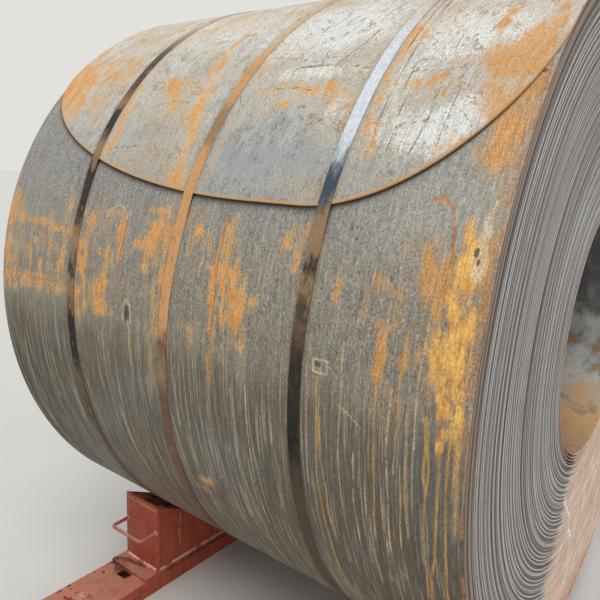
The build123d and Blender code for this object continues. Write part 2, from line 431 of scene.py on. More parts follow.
# Patches: place, half width and half height in millimetres, and strength
lap_rust = (
    (-750, 101, 24, 170, 0.8), (-715, 106, 40, 34, 0.7), (-690, 104.8, 52, 15, 0.85),
    (-600, 104.2, 60, 9, 0.6), (-590, 93.2, 210, 24, 0.62), (-640, 94.4, 160, 10, 0.45),
    (-720, 92, 60, 20, 0.5), (-700, 99, 60, 60, 0.35), (-540, 100, 90, 50, 0.25),
    (-458, 103.4, 70, 9, 0.62), (-456, 97, 20, 46, 0.66), (-455, 108, 14, 50, 0.42),
    (-562, 95.6, 11, 46, 0.68), (-615, 97, 7, 50, 0.5), (-600, 86, 60, 50, 0.18),
    (-375, 100, 13, 120, 0.58), (-345, 98, 16, 100, 0.55), (-330, 106, 18, 46, 0.46),
    (-355, 90, 40, 90, 0.34), (-300, 93, 60, 40, 0.35), (-255, 101, 24, 30, 0.66), (-262, 96, 20, 60, 0.62),
    (-270, 92.4, 52, 24, 0.72), (-240, 91.4, 44, 12, 0.66), (-206, 104, 18, 40, 0.78),
    (-195, 101.4, 18, 18, 0.66), (-235, 107.4, 46, 8, 0.5), (-255, 87, 18, 60, 0.42),
    (-130, 103, 26, 8, 0.7), (-60, 104, 46, 74, 0.8), (-75, 108.4, 34, 8, 0.85), (-18, 100, 22, 150, 0.66),
    (-86, 100, 12, 90, 0.52), (-50, 92, 14, 100, 0.48), (-18, 90.6, 18, 40, 0.7), (-60, 84, 30, 120, 0.3),
    (45, 108, 24, 34, 0.36), (72, 106.4, 10, 12, 0.52), (88, 91.4, 12, 24, 0.62), (66, 92.5, 34, 14, 0.36),
    (175, 107, 15, 28, 0.88), (155, 98, 13, 130, 0.58), (176, 103, 14, 50, 0.62), (205, 100, 26, 50, 0.56),
    (226, 97, 40, 32, 0.6), (240, 95, 20, 30, 0.5), (272, 98.4, 20, 9, 0.62), (215, 102.4, 18, 11, 0.56),
    (240, 92, 30, 22, 0.38), (186, 94, 14, 70, 0.42), (150, 88, 10, 70, 0.52), (235, 88.4, 34, 24, 0.32),
    (210, 101, 60, 110, 0.28), (120, 103, 50, 60, 0.2), (333, 106, 12, 15, 0.88), (376, 108, 18, 13, 0.72),
    (371, 104, 13, 26, 0.48), (350, 107, 34, 26, 0.26), (476, 102, 10, 28, 0.9), (560, 103.2, 12, 24, 0.82),
    (583, 103, 32, 8, 0.38), (588, 95, 9, 46, 0.98), (640, 97, 7, 60, 0.32), (664, 105.4, 28, 38, 0.66),
    (655, 107, 18, 28, 0.52), (690, 104, 20, 60, 0.66), (682, 98, 14, 90, 0.44), (655, 113, 28, 5, 0.6),
    (735, 123, 34, 84, 1), (712, 119, 26, 44, 0.8), (728, 121, 34, 60, 1), (752, 127, 22, 60, 0.95),
    (757, 110, 12, 200, 0.66), (757, 86, 8, 180, 0.66), (640, 106, 60, 60, 0.24), (600, 88, 60, 120, 0.16),
    (70, 66.5, 30, 18, 0.74), (40, 64, 30, 16, 0.66), (95, 67.5, 20, 12, 0.4), (10, 72, 10, 70, 0.4),
    (565, 66.5, 10, 14, 0.5), (-150, 82, 120, 90, 0.14),
)
lap_yellow = (
    (724, 105, 22, 70, 0.95), (722, 97, 26, 54, 0.98), (740, 99, 22, 70, 0.78), (722, 91.4, 13, 50, 0.98),
    (723, 87, 7, 40, 0.95), (748, 93, 12, 90, 0.66), (704, 97, 16, 40, 0.7), (716, 110, 16, 30, 0.55),
)
lap_cream = (
    (747, 110.6, 16, 24, 1), (744, 106.6, 14, 32, 1), (737, 103, 10, 14, 0.75), (750, 113, 10, 14, 0.8),
    (752, 99, 8, 20, 0.4), (732, 90, 5, 40, 0.4),
)
lap_dark = (
    (735, 107.9, 5, 10, 0.9), (741, 106.9, 4, 7, 0.85), (-150, 92.2, 15, 24, 0.95), (75, 97, 12, 14, 0.55),
    (757, 129.4, 9, 6, 1), (454, 92.7, 12, 9, 0.66),
)
tail_rust = (
    (-690, 129, 72, 84, 0.98), (-700, 132, 80, 110, 0.85), (-655, 127, 50, 50, 0.8),
    (-648, 125, 44, 38, 0.86), (-736, 131, 34, 60, 0.9), (-735, 141, 50, 130, 0.62),
    (-726, 128, 44, 56, 0.8), (-742, 134, 26, 90, 0.8), (-66, 125, 20, 80, 0.62), (-92, 134.5, 17, 90, 0.6),
    (-350, 120, 14, 50, 0.55), (-560, 135, 44, 40, 0.42), (-505, 121.5, 34, 14, 0.5),
    (-170, 136, 34, 30, 0.36), (-640, 135, 100, 60, 0.55), (-560, 127, 52, 36, 0.42),
    (-480, 123, 32, 28, 0.62), (-480, 135, 140, 90, 0.3), (-366, 126, 24, 140, 0.6),
    (-370, 117.4, 20, 28, 0.72), (-386, 134, 12, 90, 0.4), (-330, 121, 34, 50, 0.3),
    (-215, 130, 52, 28, 0.62), (-190, 127, 32, 24, 0.5), (-255, 131.6, 30, 28, 0.46),
    (-290, 126, 60, 50, 0.26), (-112, 141, 18, 140, 0.58), (-76, 129, 24, 80, 0.74),
    (-56, 120.6, 25, 70, 0.88), (-42, 114.6, 30, 38, 0.84), (-120, 125, 34, 30, 0.52),
    (-14, 113.8, 36, 24, 0.62), (62, 117, 15, 50, 0.52), (72, 131, 12, 50, 0.36), (140, 128, 26, 13, 0.58),
    (206, 125.6, 32, 12, 0.84), (200, 129, 36, 13, 0.62), (262, 127.6, 30, 17, 0.78),
    (300, 128.6, 32, 15, 0.72), (332, 127.6, 20, 30, 0.42), (168, 124, 34, 10, 0.36),
    (240, 127, 120, 34, 0.3), (447, 128, 9, 150, 0.72), (440, 136, 11, 70, 0.76), (470, 121, 7, 70, 0.4),
    (470, 140, 10, 90, 0.36), (520, 128, 34, 13, 0.72), (560, 129, 28, 17, 0.76), (600, 131, 26, 13, 0.68),
    (575, 126, 22, 13, 0.58), (530, 125, 28, 13, 0.44), (545, 122, 22, 16, 0.34), (640, 138, 12, 54, 0.88),
    (650, 134, 18, 18, 0.72), (618, 132, 54, 12, 0.46), (560, 128, 110, 50, 0.32), (690, 131, 36, 40, 0.78),
    (720, 134, 28, 60, 0.74), (745, 139, 18, 70, 0.74), (705, 125, 22, 38, 0.82), (688, 127, 26, 22, 0.66),
    (742, 146, 26, 90, 0.56), (704, 131, 50, 60, 0.9), (736, 134, 34, 70, 0.9), (690, 124.5, 30, 30, 0.85),
    (640, 131, 40, 12, 0.7), (660, 128, 30, 16, 0.48), (-300, 152, 500, 120, 0.26), (640, 119, 60, 9, 0.4),
    (500, 115, 100, 7, 0.35),
)
back_rust = (
    (-560, 186, 120, 90, 0.5), (-690, 206, 60, 160, 0.6), (-150, 196, 70, 120, 0.45),
    (90, 214, 60, 160, 0.5), (330, 188, 120, 60, 0.45), (620, 200, 90, 130, 0.6), (720, 232, 40, 220, 0.6),
    (520, 236, 50, 150, 0.4), (-330, 240, 60, 160, 0.4), (-600, 250, 90, 120, 0.4),
    (220, 262, 50, 180, 0.35), (-40, 270, 60, 140, 0.3),
)
# Whitish scale on the tail, partly a painted sky sheen
tail_haze_and_sheen = (
    (590, 121, 120, 50, 1), (600, 137, 150, 90, 0.85), (480, 128, 50, 80, 0.6), (220, 142, 170, 120, 0.95),
    (240, 131, 130, 26, 0.6), (70, 142, 60, 120, 0.6), (-220, 146, 220, 140, 0.5), (350, 124, 36, 70, 0.45),
    (650, 124, 50, 40, 0.6), (-560, 142, 120, 60, 0.35),
)
tail_blue = (
    (130, 117, 110, 66, 1), (300, 117.6, 110, 50, 0.9), (210, 122, 120, 40, 0.6), (-240, 121, 120, 50, 0.6),
    (-500, 121, 70, 30, 0.6), (470, 115.6, 50, 26, 0.8), (-130, 134, 60, 50, 0.5),
    (-480, 136, 90, 60, 0.45),
)

# Lines: half width in millimetres, and places
ochre_runs = trails(
    (3.4, (722, 88), (724, 84), (721, 77), (716, 72), (706, 69), (700, 63), (700, 55), (702, 44)),
    (3, (741, 90), (739, 83), (740, 75), (736, 68), (738, 60), (737, 50)),
    (3, (695, 90), (700, 87), (705, 84), (701, 81), (694, 83), (696, 87), (690, 90)),
    (2.6, (700, 81), (696, 76), (697, 70), (692, 64)),
    (2.8, (454, 91), (457, 85), (452, 78), (456, 72), (460, 66), (457, 58)),
    (2.6, (464, 86), (466, 80), (473, 76), (470, 72), (478, 69)),
    (2.4, (640, 99), (636, 93), (638, 88), (633, 82)), (2.4, (655, 90), (658, 86), (657, 80), (662, 74)),
    (2.6, (588, 92), (590, 87), (592, 80), (586, 72)), (2.6, (-143, 91), (-140, 88), (-141, 84)),
)
pale_marks = trails(
    (2.4, (506, 88.5), (532, 87.6), (560, 86.4)),
    (2.6, (443, 93.2), (477, 93.2), (478, 91.6), (444, 91.6), (443, 93.2)),
    (2.6, (-280, 106.3), (-262, 108), (-236, 108.6), (-208, 108), (-190, 106.4)),
    (2.4, (-166, 91), (-163, 93.6), (-150, 94.4), (-137, 93.4), (-134, 91)),
    (1.9, (262, 87), (265, 80), (261, 72), (264, 63)), (1.7, (150, 90), (146, 84), (148, 77)),
    (1.7, (136, 82), (133, 75), (137, 69)), (1.7, (216, 86), (214, 80), (217, 75)),
    (1.6, (332, 85), (337, 77), (334, 69)), (1.7, (30, 87), (27, 80), (31, 74)),
    (1.7, (-98, 88), (-101, 82), (-97, 76)), (2, (510, 96), (513, 89), (508, 82), (511, 74)),
    (1.8, (545, 83), (541, 76), (546, 68)), (2, (621, 92), (617, 85), (622, 78), (618, 70)),
    (1.8, (606, 78), (611, 71), (608, 64)), (2, (676, 100), (671, 93), (674, 86)),
    (1.8, (568, 80), (572, 73), (566, 66)), (1.9, (649, 80), (645, 73), (650, 66)),
    (1.8, (428, 92), (431, 84), (427, 76)),
)
rust_marks = trails(
    (3.4, (634, 113.2), (655, 113.4), (676, 112.2), (690, 109), (694, 106)),
    (2.6, (-770, 94.6), (-600, 94.2), (-420, 94.4)),
    (3.6, (156, 109), (152, 103), (158, 97), (150, 90), (153, 85)),
    (3, (-190, 106), (-195, 101), (-188, 96)),
)
tail_scratches = trails(
    (2.4, (262, 118.4), (330, 118.5), (386, 118.7)), (2.4, (280, 117.4), (386, 117.6)),
    (2.6, (185, 132.5), (330, 132.2), (392, 131.2)), (2.6, (296, 133), (330, 137), (345, 140)),
    (2.4, (300, 122.3), (345, 123.2), (385, 121)), (2.4, (500, 130.3), (560, 130), (640, 130.8)),
    (2.4, (-330, 118), (-230, 118.4)), (2.2, (452, 149), (455, 140), (450, 131)),
    (2.2, (470, 148), (474, 138), (468, 127), (470, 119)), (2.2, (492, 133), (495, 125), (490, 117)),
    (2, (509, 135), (507, 127), (512, 118)), (2.2, (60, 135.5), (150, 134.5), (250, 133)),
    (2, (110, 128), (190, 128.6), (260, 127.8)), (2.2, (520, 122), (580, 122.6), (640, 121)),
    (2, (560, 118), (575, 123), (570, 128)), (2, (600, 133), (615, 126), (610, 119)),
    (2, (-250, 126), (-180, 127), (-120, 126.4)),
)

# White scuffs low on the near end: angles and distances from the axis
end_scuffs = (
    ((15.5, 0.489), (14.5, 0.509), (5.4, 0.566), (3.0, 0.612), (5.5, 0.643), (6.9, 0.670), (9.3, 0.713)),
    ((3.9, 0.618), (-2.7, 0.682), (-3.4, 0.740), (-1.3, 0.839)),
    ((-29, 0.593), (-24, 0.618)), ((-14, 0.601), (-11, 0.650)), ((-8.5, 0.687), (-5.8, 0.710)),
)

# Marks on the one block that shows: start, end and half width in metres
cradle_stains = (
    ((-0.590, -0.697, 0.06), (-0.545, -0.694, 0.06), 0.011),
    ((-0.545, -0.700, 0.06), (-0.520, -0.716, 0.06), 0.016),
    ((-0.590, -0.692, 0.07), (-0.548, -0.668, 0.07), 0.009),
    ((-0.548, -0.668, 0.07), (-0.472, -0.654, 0.07), 0.006),
    ((-0.412, -0.600, 0.06), (-0.409, -0.300, 0.06), 0.005),
)
cradle_drips = (
    ((-0.4165, -0.533, 0.247), (-0.4165, -0.540, 0.195), 0.0028),
    ((-0.4165, -0.540, 0.195), (-0.4165, -0.535, 0.130), 0.0028),
)

# Softness of a painted line's edge, and reach of the stain and painted shade beside a strap and of the
# painted shadow and grime below the tail
line_edge = 0.008
strap_stain_and_shade_reach = 0.006
tail_shadow_reach = 0.011


def painted(x, arc, patches):
    """Strength of soft patches at each place. Where they overlap they build up."""
    bare = np.ones_like(x)
    for middle, angle, wide, high, strength in patches:
        middle_x, middle_arc = skin_place(middle, angle)
        away = ((x - middle_x) / wide) ** 2 + ((arc - middle_arc) / high) ** 2
        bare *= 1 - strength * np.exp(-away * 1e6)
    return 1 - bare


def drawn(x, arc, lines):
    """A slope across the edge of painted lines: one half on the edge itself, more inside."""
    value = np.zeros_like(x)
    for start, end, width in lines:
        run_x, run_arc = end[0] - start[0], end[1] - start[1]
        share = ((x - start[0]) * run_x + (arc - start[1]) * run_arc) / (run_x ** 2 + run_arc ** 2)
        share = np.clip(share, 0, 1)
        off = np.hypot(x - start[0] - share * run_x, arc - start[1] - share * run_arc)
        value = np.maximum(value, 0.5 + (width - off) / line_edge)
    return np.clip(value, 0, 1)


def skin_marks(x, angle, patches, lines):
    """The attributes that place rust, whitish scale and painted sheen, runs, painted shade and the like on a
    piece of the coil's skin.
    """
    arc = np.radians(angle) * coil_radius
    marks = {key: painted(x, arc, given) for key, given in patches.items()}
    marks |= {key: drawn(x, arc, given) for key, given in lines.items()}
    off_straps = [np.abs(np.abs(x - strap_line(place, angle)) - strap_width / 2) for place in strap_lean]
    below = np.maximum(np.radians(tail_edge(x)) * coil_radius - arc, 0)
    marks["arc"] = arc
    # Rust stain and painted shade in a band along each side of every strap
    marks["strap_side"] = np.exp(-np.min(off_straps, axis=0) / strap_stain_and_shade_reach)
    # Painted shadow, with some grime, in a dark band just below the tail's edge
    marks["under"] = np.exp(-(below / tail_shadow_reach) ** 2) * (angle < 160)
    return marks


# The coil's skin

def columns(spacing):
    """Places along the axis, closer together at the strip's two edges."""
    near_edge = np.array([0.0, 0.0006, 0.0015, 0.003, 0.006, 0.010])
    left, right = -half_width + outer_wander, half_width + outer_wander
    inner = np.arange(left + 0.016, right - 0.013, spacing)
    return np.concatenate([left + near_edge, inner, right - near_edge[::-1]])


def rim_drop(x):
    """How far the skin is rounded off at the strip's two edges."""
    edge = half_width - np.abs(x - outer_wander)
    return 0.0005 * (1 - smooth(edge / 0.0012))


def skin_wave(x, angle):
    """Slight unevenness of the skin, at most 0.4 mm inwards."""
    return 0.0002 * (wavering(x, 4.0, 11) * wavering(angle, 0.021, 12) - 1)


def wrap_piece(name, first, last, step, spacing, material, patches, lines):
    """A stretch of the outermost lap, from one angle to another along the strip."""
    x, angle = np.meshgrid(columns(spacing), np.linspace(first, last, ceil((last - first) / step) + 1))
    radius = lap_radius(angle) - rim_drop(x) + skin_wave(x, angle)
    marks = skin_marks(x, angle - 360 * (first >= 360), patches, lines)
    piece = make_piece(name, on_coil(x, angle, radius), grid_faces(*x.shape), material, "coil_scale",
                       "coil", **marks)
    add_bake_map(piece, x, angle)


def tail_outline(spacing):
    """Points of the tail's edge, evenly spaced: place along the axis, arc, and inward normal."""
    middle, reach = (flat_start + flat_end) / 2, np.sin(np.linspace(-pi / 2, pi / 2, 4000))
    x = middle + np.where(reach < 0, half_width + middle, half_width - middle) * reach
    arc = np.radians(tail_edge(x)) * coil_radius
    x = x + outer_wander
    run = np.concatenate([[0], np.cumsum(np.hypot(np.diff(x), np.diff(arc)))])
    even = np.linspace(0, run[-1], int(run[-1] / spacing))
    x, arc = np.interp(even, run, x), np.interp(even, run, arc)
    across, up = np.gradient(x), np.gradient(arc)
    size = np.hypot(across, up)
    turned = 1 - smooth(np.minimum(even, even[-1] - even) / 0.040)
    return x, arc, -up / size * (1 - turned), across / size * (1 - turned) + turned


# The tail's edge in section: distance inwards from its outline, and depth under its outer face
tail_profile = (
    (0.060, gauge), (0.030, gauge), (0.012, gauge), (0.0008, gauge), (0.0001, gauge - 0.0006),
    (0.0, gauge / 2), (0.0001, 0.0008), (0.0004, 0.0003), (0.0010, 0.0), (0.0030, 0.0),
    (0.0060, 0.0), (0.0095, 0.0), (0.0140, 0.0), (0.0190, 0.0),
)


def tail_piece(material):
    """The strip's end lap: the skin over the top, its rounded edge and a little of its underside."""
    x, arc, normal_x, normal_arc = tail_outline(tail_spacing)
    held = np.max([np.exp(-((x - strap_middle(place)) / 0.05) ** 2) for place in strap_lean], axis=0)
    lift = tail_lift * (1 - held) * smooth((half_width - np.abs(x)) / 0.1)
    top_arc = radians(tail_top) * coil_radius
    rows = [(np.clip(x + normal_x * inset, x[0], x[-1]), arc + normal_arc * inset,
             np.full_like(x, depth), np.full_like(x, inset)) for inset, depth in tail_profile]
    start_x, start_arc, start_depth, start_inset = rows[-1]
    for share in np.arange(1, tail_rows + 1) / tail_rows:
        rise = share * (top_arc - start_arc)
        rows.append((start_x + (x - start_x) * smooth(share * 3), start_arc + rise, start_depth,
                     start_inset + rise))
    row_x, row_arc, depth, inset = np.array(rows).transpose(1, 0, 2)
    angle = np.degrees(row_arc / coil_radius)
    radius = lap_radius(np.maximum(angle, tail_tip)) - depth + lift * np.exp(-inset / 0.05)
    radius -= rim_drop(row_x) * (depth == 0)
    patches = {"rust": tail_rust, "haze": tail_haze_and_sheen, "blue": tail_blue}
    piece = make_piece("coil_tail", on_coil(row_x, angle, radius), grid_faces(*radius.shape), material,
                       "coil_scale", "coil", rim=1 - smooth(inset / 0.010),
                       **skin_marks(row_x, angle, patches, {"scratch": tail_scratches}))
    add_bake_map(piece, row_x, np.indices(row_x.shape)[0])


# The coil's ends and bore

def wander_of(angle):
    """How far a lap's edge stands towards +X, at an angle along the strip."""
    lap = (lap_radius(angle) - bore_radius) / gauge - 0.5
    edges = np.cumsum([laps for laps, _ in lap_bands])
    values = [wander for _, wander in lap_bands] + [outer_wander]
    ramps = np.stack([edges - step_spread, edges + step_spread], 1).ravel()
    found = np.interp(lap, ramps[:-1], np.repeat(values, 2)[1:-2])
    found = np.where(lap > edges[-1], outer_wander, found)
    turn = (angle - tail_tip) / 360
    scatter = wavering(turn, 1.37, 21) * lap_scatter + wavering(turn, 0.31, 22) * lap_scatter
    return np.clip(found + scatter * (lap < edges[-1]), -outer_wander, outer_wander)


def looseness(angle):
    """How far a lap near the bore has dropped from the one outside it."""
    share = np.clip(1 - (strip_end - angle) / 360 / loose_turns, 0, 1)
    off = (angle - loose_middle + 180) % 360 - 180
    hump = np.where(np.abs(off) < loose_spread, np.cos(off / loose_spread * pi / 2) ** 2, 0)
    return loose_drop * share ** 1.6 * hump


def edge_gap(angle, near):
    """The gap on a lap's outer side: its depth, how dark its painted shade is, and how smeared the edges are
    there.
    """
    turn = (angle - tail_tip) / 360
    beside = (wavering(turn - 1, 1.37, 31) + wavering(turn + 1, 1.37, 31)) / 2
    open_share = 0.55 + 0.50 * (wavering(turn, 1.37, 31) - beside) + 0.10 * wavering(turn, 0.43, 32)
    off_bottom = (angle + 180) % 360 - 180
    smeared = smooth((20 + 4 * wavering(turn, 0.9, 33) - off_bottom) / 7)
    smeared = smeared * smooth((off_bottom + 80) / 30) * near
    at_step = np.abs(turn - outer_laps) < 0.5
    depth = (0.0014 + 0.0022 * np.clip(open_share, 0.05, 1)) * (1 - 0.85 * smeared)
    depth = np.where(at_step, outer_gap_depth, depth)
    depth = depth + 6 * np.clip(looseness(angle) - looseness(angle - 360), 0, 0.006)
    # Painted shade in the gap: darker where it opens wider, lighter where the edges are smeared
    dark = np.clip(0.35 + 0.65 * open_share, 0.15, 1) * (1 - 0.8 * smeared)
    dark = np.where(at_step, 1.0, dark)
    closed = angle < tail_tip + 360 + (bare_near if near else bare_far)
    return np.where(closed, closed_gap_depth, depth), np.where(closed, 0.0, dark), smeared


def end_piece(name, near, material):
    """One end of the coil: the strip's edge as it winds from the tail to the bore, lap by lap."""
    side = 1 if near else -1
    start = float(tail_edge(side * half_width))
    angle = np.linspace(start, strip_end, int((strip_end - start) / 360 * edge_points_per_turn))
    last_turn = angle > strip_end - 360
    face = side * half_width + wander_of(angle)
    next_face = np.where(last_turn, face, side * half_width + wander_of(angle + 360))
    outer = lap_radius(angle) - looseness(angle)
    inner = outer - gauge
    following = lap_radius(angle + 360) - looseness(np.minimum(angle + 360, strip_end))
    following = np.where(last_turn, inner, following)
    depth_out, dark_out, smeared = edge_gap(angle, near)
    depth_in, dark_in, _ = edge_gap(angle + 360, near)
    depth_in = np.where(last_turn, closed_gap_depth, depth_in)
    dark_in = np.where(last_turn, 0.0, dark_in)
    flat = 0 * angle
    round_out, round_in = (np.minimum(depth * 0.35, edge_rounding) for depth in (depth_out, depth_in))
    radius = np.stack([outer, outer - round_out, inner + round_in, inner, following], 1)
    depth = np.stack([depth_out, flat, flat, depth_in, depth_in], 1)
    base = np.stack([face, face, face, face, next_face], 1)
    gap = np.stack([dark_out, flat, flat, dark_in, dark_in], 1)
    angle = angle[:, None]
    faces = grid_faces(*radius.shape, flip=not near)
    piece = make_piece(name, on_coil(base - side * depth, angle, radius), faces, material, "coil_scale",
                       "coil", sharp=50, gap=gap, turn=(angle - tail_tip) / 360, smear=smeared[:, None])
    turned = np.radians(angle)
    add_bake_map(piece, radius * np.cos(turned), radius * np.sin(turned))


def bore_piece(material):
    """The bore: the inner face of the strip's last turn, and the step at its end."""
    _, innermost_wander = lap_bands[0]
    x = np.linspace(-half_width, half_width, 60) + innermost_wander
    angle = np.arange(strip_end - 372, strip_end, 1.5)
    inner = lap_radius(angle) - looseness(angle) - gauge
    tip = float(lap_radius(strip_end) - looseness(strip_end))
    angle = np.append(angle, [strip_end] * 3)[:, None]
    radius = np.append(inner, [tip - gauge, tip - gauge / 2, tip])[:, None]
    make_piece("coil_bore", on_coil(x, angle, radius), grid_faces(len(angle), len(x), flip=True), material,
               "coil_scale", "coil", seen=angle % 360)


# Straps

def strap_radius(angle, edge):
    """Distance from the axis to a strap's underside. At the tail's edge it runs straight to the lap below."""
    lower = lap_radius(angle + np.where(angle < edge, 360, 0)) + strap_clearance
    top = float(lap_radius(edge)) + strap_clearance
    low = float(lap_radius(edge + 360 - bridge_reach)) + strap_clearance
    reach = degrees(acos(low / top))
    touch = edge - reach
    bridge = low / np.cos(np.radians(np.clip(angle - touch, 0, reach)))
    return np.where((angle > touch) & (angle < edge), bridge, lower)


def strap_piece(place, material):
    """A strap: a thin band round the coil with eased edges."""
    near_x = [strap_middle(place) - strap_width, strap_middle(place) + strap_width]
    edge = float(np.min(tail_edge(near_x)) - degrees(gauge / coil_radius))
    angle = np.arange(edge - 360 + strap_step / 2, edge + strap_step / 2, strap_step)
    angle = np.where(angle < tail_tip - 360, angle + 360, angle)[:, None]
    half = strap_width / 2
    eased = half - 0.0004
    profile = ((-half, 0), (half, 0), (half, 0.6), (eased, 1), (half * 0.6, 1), (half * 0.2, 1),
               (-half * 0.2, 1), (-half * 0.6, 1), (-eased, 1), (-half, 0.6))
    across, height = np.array(profile).T
    twist = strap_twist * wavering(angle, 0.03, 41 + len(place))
    radius = strap_radius(angle, edge) + height * strap_gauge
    radius = radius + twist * (height > 0) * np.sign(across) * (np.abs(across) > 0.008)
    faces = grid_faces(*radius.shape, close_rows=True, close_columns=True, flip=True)
    make_piece(f"strap_{place}_steel", on_coil(strap_line(place, angle) + across, angle, radius), faces,
               material, "strap_steel", f"strap_{place}", seen=angle % 360, side=np.abs(across) / half)


# A seal's wall in section: places across the strap and heights
seal_profile = (
    (-seal_half_width, -0.0009), (-seal_half_width, 0.0008), (-seal_half_width + 0.0006, 0.0014),
    (0, 0.0016), (seal_half_width - 0.0006, 0.0014), (seal_half_width, 0.0008),
    (seal_half_width, -0.0009), (seal_half_width - seal_wall, -0.0009), (seal_half_width - seal_wall, 0.0002),
    (0, 0.0003), (-seal_half_width + seal_wall, 0.0002), (-seal_half_width + seal_wall, -0.0009),
)


def seal_piece(place, material):
    """The crimped seal of a strap: a sleeve folded round it, with two pairs of notches."""
    low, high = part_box(f"strap_seal_{place}")
    middle = (low + high) / 2
    section = Vector((0, middle.y, middle.z - axis_height))
    outward = section.normalized()
    along = Vector((1, 0, 0)).cross(outward)
    along = (along - Vector((strap_lean[place] / coil_radius * outward.y, 0, 0))).normalized()
    across = along.cross(outward).normalized()
    origin = np.array(Vector((middle.x, 0, axis_height)) + outward * (section.length - seal_sink))
    step = np.linspace(-0.5, 0.5, 41)[:, None]
    aside, height = np.array(seal_profile).T
    notch = np.exp(-((np.abs(step) - notch_place) / notch_reach) ** 2)
    dent = notch_depth * notch * (np.abs(aside) > 0.01)
    lift = height - (step * seal_length) ** 2 / 2 / coil_radius - dent
    parts = ((step * seal_length, along), (aside * (1 - notch_squeeze * notch), across), (lift, outward))
    points = origin + sum(size[..., None] * np.array(way) for size, way in parts)
    rows, count = lift.shape
    faces = grid_faces(rows, count, close_columns=True).tolist()
    faces += [list(range(count))[::-1], list(range(rows * count - count, rows * count))]
    make_piece(f"strap_seal_{place}_steel", points, faces, material, "strap_steel", f"strap_seal_{place}",
               sharp=30, seen=210.0, side=0.0)


# Cradle

def eased_piece(node, material, slot):
    """A plate or channel of the cradle with its sharp edges eased, which stands for its node."""
    shape = bmesh.new()
    shape.from_mesh(frame["nodes"][node].data)
    bmesh.ops.remove_doubles(shape, verts=shape.verts, dist=1e-5)
    bmesh.ops.dissolve_limit(shape, angle_limit=radians(1), verts=shape.verts, edges=shape.edges)
    sharp = [edge for edge in shape.edges if edge.is_manifold and edge.calc_face_angle() > radians(25)]
    bmesh.ops.bevel(shape, geom=sharp, offset=eased_width, segments=2, profile=0.6, affect="EDGES",
                    clamp_overlap=True)
    mesh = bpy.data.meshes.new(f"{node}_steel")
    shape.to_mesh(mesh)
    shape.free()
    dress(f"{node}_steel", mesh, material, slot, 40, node)


def block_front(block):
    """Which way along Y a block's front plate looks, and where its outer face is."""
    low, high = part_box(f"front_plate_{block}")
    return (-1, low.y) if block.endswith("front") else (1, high.y)


def tube_points(path, radius, sides):
    """Rings of a round rod round a level path."""
    ahead = np.gradient(path, axis=0)
    ahead /= np.linalg.norm(ahead, axis=1)[:, None]
    beside = np.cross(ahead, (0.0, 0.0, 1.0))
    beside /= np.linalg.norm(beside, axis=1)[:, None]
    above = np.cross(beside, ahead)
    turn = np.linspace(0, 2 * pi, sides, endpoint=False)[None, :, None]
    return path[:, None] + radius * (np.cos(turn) * beside[:, None] + np.sin(turn) * above[:, None])


def handle_piece(block, material):
    """A lifting handle: one rod with two round bends, welded to the block's front plate."""
    low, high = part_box(f"handle_{block}")
    side, root = block_front(block)
    out = abs((low.y if side < 0 else high.y) - root) - rod_radius
    left, right = low.x + rod_radius, high.x - rod_radius
    bend = rod_bend
    turns = np.radians(np.linspace(0, 90, 9))
    leg = np.linspace(0, out - bend, 5)
    path = [(left, away) for away in leg[:-1]]
    path += [(left + bend - bend * cos(t), out - bend + bend * sin(t)) for t in turns]
    path += [(x, out) for x in np.linspace(left + bend, right - bend, 8)[1:-1]]
    path += [(right - bend + bend * sin(t), out - bend + bend * cos(t)) for t in turns]
    path += [(right, away) for away in leg[-2::-1]]
    path = np.array([(x, root + side * away, (low.z + high.z) / 2) for x, away in path])
    faces = grid_faces(len(path), rod_sides, close_columns=True, flip=side < 0)
    make_piece(f"handle_{block}_rod", tube_points(path, rod_radius, rod_sides), faces, material,
               "handle_paint", f"handle_{block}")


def bead_rows(start, end, size, first, second, crown=fillet_crown):
    """One weld bead in the corner of two faces: a rippled fillet between two points."""
    start, end, first, second = (np.array(value, float) for value in (start, end, first, second))
    length = np.linalg.norm(end - start)
    share = np.linspace(0, 1, max(int(length / weld_spacing), 12))
    seed = int(abs(start.sum() * 1000)) % 997
    ripple = 1 + 0.10 * np.sin(share * length / weld_ripple * 2 * pi + 2 * wavering(share, 9, seed))
    size_here = size * ripple * (1 + 0.16 * wavering(share, length * 40, seed + 1))
    size_here *= smooth(np.minimum(share, 1 - share) * length / (0.8 * size) + 0.25)
    turns = np.linspace(0, pi / 2, 6)
    outline = np.outer(np.cos(turns) * crown, first) + np.outer(np.sin(turns) * crown, second)
    line = start + (end - start) * share[:, None]
    return line[:, None] + size_here[:, None, None] * outline


def seam_rows(start, end, size, out, across):
    """One low weld bead over a seam in a flat face."""
    start, end, out, across = (np.array(value, float) for value in (start, end, out, across))
    sunk, lift = seam_lift * size * out, seam_lift * out
    return bead_rows(start - sunk, end - sunk, size, lift - across, lift + across, seam_crown)


def ring_rows(centre, side):
    """The bead round a rod's end where it meets the front plate."""
    turns = np.linspace(0, 2 * pi, 49)[:, None]
    share = np.linspace(0, pi / 2, 6)
    ripple = ring_weld_size * (1 + 0.12 * np.sin(turns * 9))
    around = rod_radius + ripple * np.cos(share) * ring_crown
    off = ripple * np.sin(share) * ring_crown
    return np.stack([around * np.cos(turns), side * off, around * np.sin(turns)], -1) + centre


def weld_piece(name, runs, material):
    """Several weld beads as one mesh."""
    starts = np.cumsum([0] + [run.shape[0] * run.shape[1] for run in runs])
    points = np.concatenate([run.reshape(-1, 3) for run in runs])
    faces = np.concatenate([grid_faces(*run.shape[:2]) + first for run, first in zip(runs, starts)])
    make_piece(name, points, faces, material, "cradle_paint")


